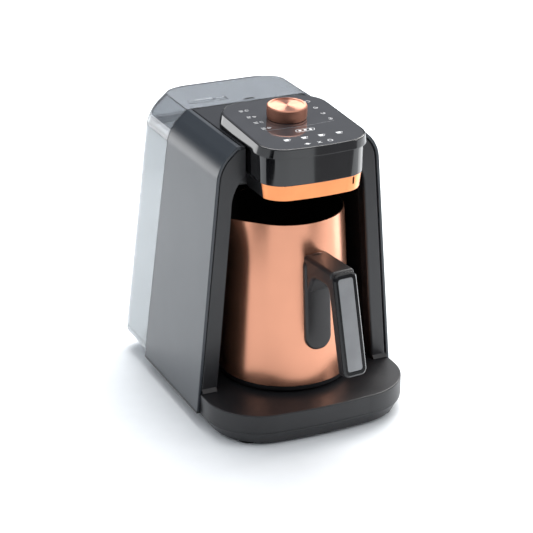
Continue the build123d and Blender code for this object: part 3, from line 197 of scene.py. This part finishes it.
def spun(name, base, centre, side=False):
    """Copper turned on a lathe: fine rings round the axis through centre."""
    m = surface(name, base, 0.40, metal=1.0, mottle=0.03, rough_var=0.02, aniso=0.95, radial=True)
    nt = m.node_tree
    p = nt.nodes["Principled BSDF"]
    tc = nt.nodes.new("ShaderNodeTexCoord")
    sub = nt.nodes.new("ShaderNodeVectorMath")
    sub.operation = "SUBTRACT"
    sub.inputs[1].default_value = centre
    flat = nt.nodes.new("ShaderNodeVectorMath")
    flat.operation = "MULTIPLY"
    flat.inputs[1].default_value = (1, 1, 0)
    ln = nt.nodes.new("ShaderNodeVectorMath")
    ln.operation = "LENGTH"
    n1 = nt.nodes.new("ShaderNodeTexNoise")
    n1.noise_dimensions = "1D"
    n1.inputs["Scale"].default_value = 4200
    n1.inputs["Detail"].default_value = 2.0
    b = nt.nodes.new("ShaderNodeBump")
    b.inputs["Strength"].default_value = 0.22
    b.inputs["Distance"].default_value = 0.00003
    nt.links.new(tc.outputs["Object"], sub.inputs[0])
    nt.links.new(sub.outputs[0], flat.inputs[0])
    nt.links.new(flat.outputs[0], ln.inputs[0])
    nt.links.new(ln.outputs["Value"], n1.inputs["W"])
    nt.links.new(n1.outputs["Fac"], b.inputs["Height"])
    nt.links.new(b.outputs["Normal"], p.inputs["Normal"])
    return m


spun("knob_copper", (0.68, 0.32, 0.225), (0, -0.0244, 0.25))
surface("print_faint", (0.22, 0.22, 0.23), 0.4, mottle=0.05)
surface("print_white", (0.82, 0.83, 0.84), 0.4, mottle=0.02, rough_var=0.03)
surface("water_dark", (0.02, 0.02, 0.02), 0.2)

slots = {s["node"]: s["material_slot"] for s in frame["record"]["subparts"]}
for name, ob in nodes.items():
    ob.data.materials.clear()
    ob.data.materials.append(LIB[slots[name]])

# ------------------------------------------------------------------ valve spring, a copy of the CAD coil that rides with the tank
coil = bpy.data.objects.new("spring_coil", nodes["valve_spring"].data.copy())
bpy.context.scene.collection.objects.link(coil)
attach(coil, "tank")
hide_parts("valve_spring")
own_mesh(coil)



# ------------------------------------------------------------------ printed symbols on the panel
SLOPE = math.tan(math.radians(2.65))


def on_panel(x, y, h=0.0):
    """Panel point from plan millimetres to metres."""
    return Vector((x, y, 250.5 + (y + 24.4) * SLOPE + h)) / 1000.0


def piece(name, bm, mat, body, smooth=False):
    me = bpy.data.meshes.new(name)
    bm.normal_update()
    bm.to_mesh(me)
    bm.free()
    me.materials.append(LIB[mat])
    if smooth:
        for f in me.polygons:
            f.use_smooth = True
    ob = bpy.data.objects.new(name, me)
    bpy.context.scene.collection.objects.link(ob)
    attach(ob, body)
    return ob


H0, H1 = 0.005, 0.06


def prism(bm, pts, h0=H0, h1=H1):
    """A thin closed plate on the panel with the outline pts."""
    lo = [bm.verts.new(on_panel(x, y, h0)) for x, y in pts]
    hi = [bm.verts.new(on_panel(x, y, h1)) for x, y in pts]
    n = len(pts)
    bm.faces.new(hi)
    bm.faces.new(lo[::-1])
    for i in range(n):
        j = (i + 1) % n
        bm.faces.new((lo[i], lo[j], hi[j], hi[i]))


def band(bm, path, w, closed=False, h0=H0, h1=H1):
    """A printed line of width w along path."""
    n = len(path)
    left, right = [], []
    for i, (x, y) in enumerate(path):
        a = path[(i - 1) % n] if closed or i > 0 else path[i]
        b = path[(i + 1) % n] if closed or i < n - 1 else path[i]
        dx, dy = b[0] - a[0], b[1] - a[1]
        ln = math.hypot(dx, dy) or 1.0
        nx, ny = -dy / ln * w / 2, dx / ln * w / 2
        left.append((x + nx, y + ny))
        right.append((x - nx, y - ny))
    lv = [[bm.verts.new(on_panel(x, y, h)) for x, y in left] for h in (h0, h1)]
    rv = [[bm.verts.new(on_panel(x, y, h)) for x, y in right] for h in (h0, h1)]
    rng = range(n if closed else n - 1)
    for i in rng:
        j = (i + 1) % n
        bm.faces.new((lv[1][i], rv[1][i], rv[1][j], lv[1][j]))
        bm.faces.new((lv[0][j], rv[0][j], rv[0][i], lv[0][i]))
        bm.faces.new((lv[0][i], lv[1][i], lv[1][j], lv[0][j]))
        bm.faces.new((rv[0][j], rv[1][j], rv[1][i], rv[0][i]))
    if not closed:
        bm.faces.new((lv[0][0], rv[0][0], rv[1][0], lv[1][0]))
        bm.faces.new((lv[1][-1], rv[1][-1], rv[0][-1], lv[0][-1]))


def arc(cx, cy, r, a0, a1, n=20, ry=None):
    ry = r if ry is None else ry
    return [(cx + r * math.cos(math.radians(a0 + (a1 - a0) * i / n)),
             cy + ry * math.sin(math.radians(a0 + (a1 - a0) * i / n))) for i in range(n + 1)]


def ring(bm, cx, cy, r, w, a0=0, a1=360, n=28):
    if a1 - a0 >= 360:
        band(bm, arc(cx, cy, r, a0, a0 + 360, n)[:-1], w, closed=True)
    else:
        band(bm, arc(cx, cy, r, a0, a1, n), w)


def dot(bm, cx, cy, r, n=18):
    prism(bm, arc(cx, cy, r, 0, 360, n)[:-1])


def cup(bm, cx, cy, s, solid=True):
    """Small cup: bowl, saucer line and handle ring."""
    pts = [(cx - 0.95 * s, cy + 0.55 * s), (cx + 0.75 * s, cy + 0.55 * s), (cx + 0.62 * s, cy - 0.1 * s),
           (cx + 0.35 * s, cy - 0.5 * s), (cx - 0.5 * s, cy - 0.5 * s), (cx - 0.8 * s, cy - 0.1 * s)]
    if solid:
        prism(bm, pts[::-1])
    else:
        band(bm, pts, 0.2 * s, closed=True)
    ring(bm, cx + 0.9 * s, cy + 0.18 * s, 0.32 * s, 0.16 * s, -80, 80, 10)
    band(bm, [(cx - 0.95 * s, cy - 0.8 * s), (cx + 0.85 * s, cy - 0.8 * s)], 0.18 * s)


bm = bmesh.new()
# left column: four keys, each a bar symbol and a small mark
for i, y in enumerate((0.6, -13.8, -27.0, -40.6)):
    x = -27.4 + 0.4 * i
    band(bm, [(x - 3.4, y + 1.3), (x + 0.2, y + 1.3)], 0.34)
    band(bm, [(x - 3.4, y - 0.2), (x + 0.2, y - 0.2)], 0.34)
    band(bm, [(x - 3.4, y - 1.7), (x - 1.0 + 0.4 * i, y - 1.7)], 0.34)
    if i % 2 == 0:
        ring(bm, x + 3.2, y, 1.5, 0.32, 30, 330)
    else:
        cup(bm, x + 3.0, y, 1.5, solid=False)
# right column: rings with marks
for i, y in enumerate((1.8, -13.6, -27.2, -40.2)):
    x = 31.0
    if i == 0:
        pts = [(x - 2.2, y - 1.6), (x + 1.4, y - 1.6), (x + 2.2, y + 0.4), (x + 0.6, y + 1.8), (x - 2.0, y + 1.2)]
        band(bm, pts, 0.34, closed=True)
    else:
        ring(bm, x, y, 1.7, 0.4, 20 + 60 * i, 300 + 60 * i)
        dot(bm, x + 0.4, y, 0.5)
# pill with three dots
cx, cy, hw, hr = 1.6, -55.4, 5.6, 2.5
pill = arc(cx + hw, cy, hr, -90, 90, 12) + arc(cx - hw, cy, hr, 90, 270, 12)
band(bm, pill, 0.35, closed=True)
for k in (-1, 0, 1):
    dot(bm, cx + k * 4.6, cy, 1.25)
# four cups
for x in (-21.3, -6.2, 8.6, 24.0):
    cup(bm, x, -70.0, 2.6)
# three small marks
dot(bm, -9.4, -82.6, 1.5)
band(bm, [(-12.2, -82.6), (-10.9, -82.6)], 0.5)
band(bm, [(-7.9, -82.6), (-6.6, -82.6)], 0.5)
dot(bm, 0.8, -83.0, 0.9)
for a in (45, 135, 225, 315):
    c, s = math.cos(math.radians(a)), math.sin(math.radians(a))
    band(bm, [(0.8 + 1.4 * c, -83.0 + 1.4 * s), (0.8 + 2.2 * c, -83.0 + 2.2 * s)], 0.45)
ring(bm, 10.4, -82.4, 1.9, 0.5)
piece("panel_symbols", bm, "print_white", "base")

bm = bmesh.new()
# curved divider
band(bm, [(-28.5 + 60.5 * t / 24.0, -45.2 - 1.9 * math.sin(math.pi * t / 24.0)) for t in range(25)], 0.26)
piece("panel_divider", bm, "print_faint", "base")


# ------------------------------------------------------------------ floor, light, camera
bm = bmesh.new()
vs = [bm.verts.new((x, y, 0.0)) for x, y in ((-9, -4), (9, -4), (9, 14), (-9, 14))]
bm.faces.new(vs)
me = bpy.data.meshes.new("floor")
bm.to_mesh(me)
bm.free()
floor = bpy.data.objects.new("floor", me)
bpy.context.scene.collection.objects.link(floor)
surface("floor_pale", (0.905, 0.935, 0.96), 0.55, spec=0.2, mottle=0.01, rough_var=0.05)
me.materials.append(LIB["floor_pale"])

surface("card_black", (0.006, 0.006, 0.006), 0.9, spec=0.0)
surface("card_grey", (0.26, 0.26, 0.27), 0.9, spec=0.0)
for name, pts in (("card_right", [(0.195, -0.548), (0.30, -0.50), (0.62, -0.42), (1.2, -0.30), (1.2, -1.2), (0.44, -1.2)]),
                  ("card_left", [(-0.50, -0.42), (-1.1, -0.80), (-1.2, 0.02), (-0.56, -0.02)])):
    bm = bmesh.new()
    bm.faces.new([bm.verts.new((x, y, 0.001)) for x, y in pts])
    me = bpy.data.meshes.new(name)
    bm.to_mesh(me)
    bm.free()
    me.materials.append(LIB["card_grey" if name == "card_right" else "card_black"])
    card = bpy.data.objects.new(name, me)
    bpy.context.scene.collection.objects.link(card)


def softbox(name, loc, at, size, power, colour=(1, 1, 1), size_y=None):
    d = bpy.data.lights.new(name, "AREA")
    d.shape = "RECTANGLE"
    d.size = size
    d.size_y = size_y or size
    d.energy = power
    d.color = colour
    o = bpy.data.objects.new(name, d)
    o.location = loc
    o.rotation_euler = (Vector(at) - Vector(loc)).to_track_quat("-Z", "Y").to_euler()
    bpy.context.scene.collection.objects.link(o)
    return o


softbox("top_light", (0.35, 0.75, 1.75), (0, 0, 0.1), 1.1, 30)
softbox("back_right", (1.35, 0.85, 1.35), (0, 0, 0.1), 0.9, 20, colour=(1.0, 0.985, 0.96))
softbox("left_light", (-1.5, -0.5, 1.0), (0, 0, 0.12), 0.8, 3.0, colour=(0.93, 0.96, 1.0))
softbox("right_light", (1.4, -0.9, 0.7), (0, 0, 0.12), 0.5, 6)
softbox("back_left_low", (-0.43, 0.58, 0.175), (0, 0, 0.17), 0.42, 0.6, size_y=0.19)
softbox("right_low", (0.36, -0.01, 0.075), (0, -0.05, 0.09), 0.2, 0.1, size_y=0.12)
softbox("left_back", (-1.1, 0.55, 0.95), (-0.28, 0.35, 0.0), 0.6, 2.5, colour=(0.95, 0.975, 1.0))

w = bpy.data.worlds.new("studio")
bpy.context.scene.world = w
w.use_nodes = True
nt = w.node_tree
bg = nt.nodes["Background"]
tc = nt.nodes.new("ShaderNodeTexCoord")
sep = nt.nodes.new("ShaderNodeSeparateXYZ")
ramp = nt.nodes.new("ShaderNodeValToRGB")
ramp.color_ramp.elements[0].position = 0.35
ramp.color_ramp.elements[0].color = (0.22, 0.23, 0.25, 1)
ramp.color_ramp.elements[1].position = 0.75
ramp.color_ramp.elements[1].color = (1, 1, 1, 1)
ramp.color_ramp.elements[0].position = 0.28
ramp.color_ramp.elements[0].color = (0.045, 0.048, 0.054, 1)
ramp.color_ramp.elements[1].position = 0.85
ramp.color_ramp.elements[1].color = (1, 1, 1, 1)
mid = ramp.color_ramp.elements.new(0.52)
mid.color = (0.42, 0.44, 0.48, 1)
lean = nt.nodes.new("ShaderNodeMath")
lean.operation = "MULTIPLY_ADD"
lean.inputs[1].default_value = 0.35
nt.links.new(tc.outputs["Generated"], sep.inputs[0])
nt.links.new(sep.outputs["X"], lean.inputs[0])
nt.links.new(sep.outputs["Z"], lean.inputs[2])
nt.links.new(lean.outputs[0], ramp.inputs["Fac"])
nt.links.new(ramp.outputs["Color"], bg.inputs["Color"])
bg.inputs["Strength"].default_value = 1.1

cam = bpy.data.cameras.new("camera")
cam.sensor_fit = "HORIZONTAL"
cam.sensor_width = 36.0
cam.lens = 1860.3 / 533.0 * 36.0
cam.clip_start = 0.05
cam.clip_end = 60.0
cob = bpy.data.objects.new("camera", cam)
bpy.context.scene.collection.objects.link(cob)
az, el, dist = math.radians(-24.5), math.radians(23.1), 1.5705
back = Vector((math.sin(az) * math.cos(el), -math.cos(az) * math.cos(el), math.sin(el)))
target = Vector((-0.0054, 0.003, 0.1103))
cob.location = target + back * dist
cob.rotation_euler = (-back).to_track_quat("-Z", "Y").to_euler()
bpy.context.scene.camera = cob

bpy.context.scene.view_settings.view_transform = "Standard"
bpy.context.scene.view_settings.look = "None"
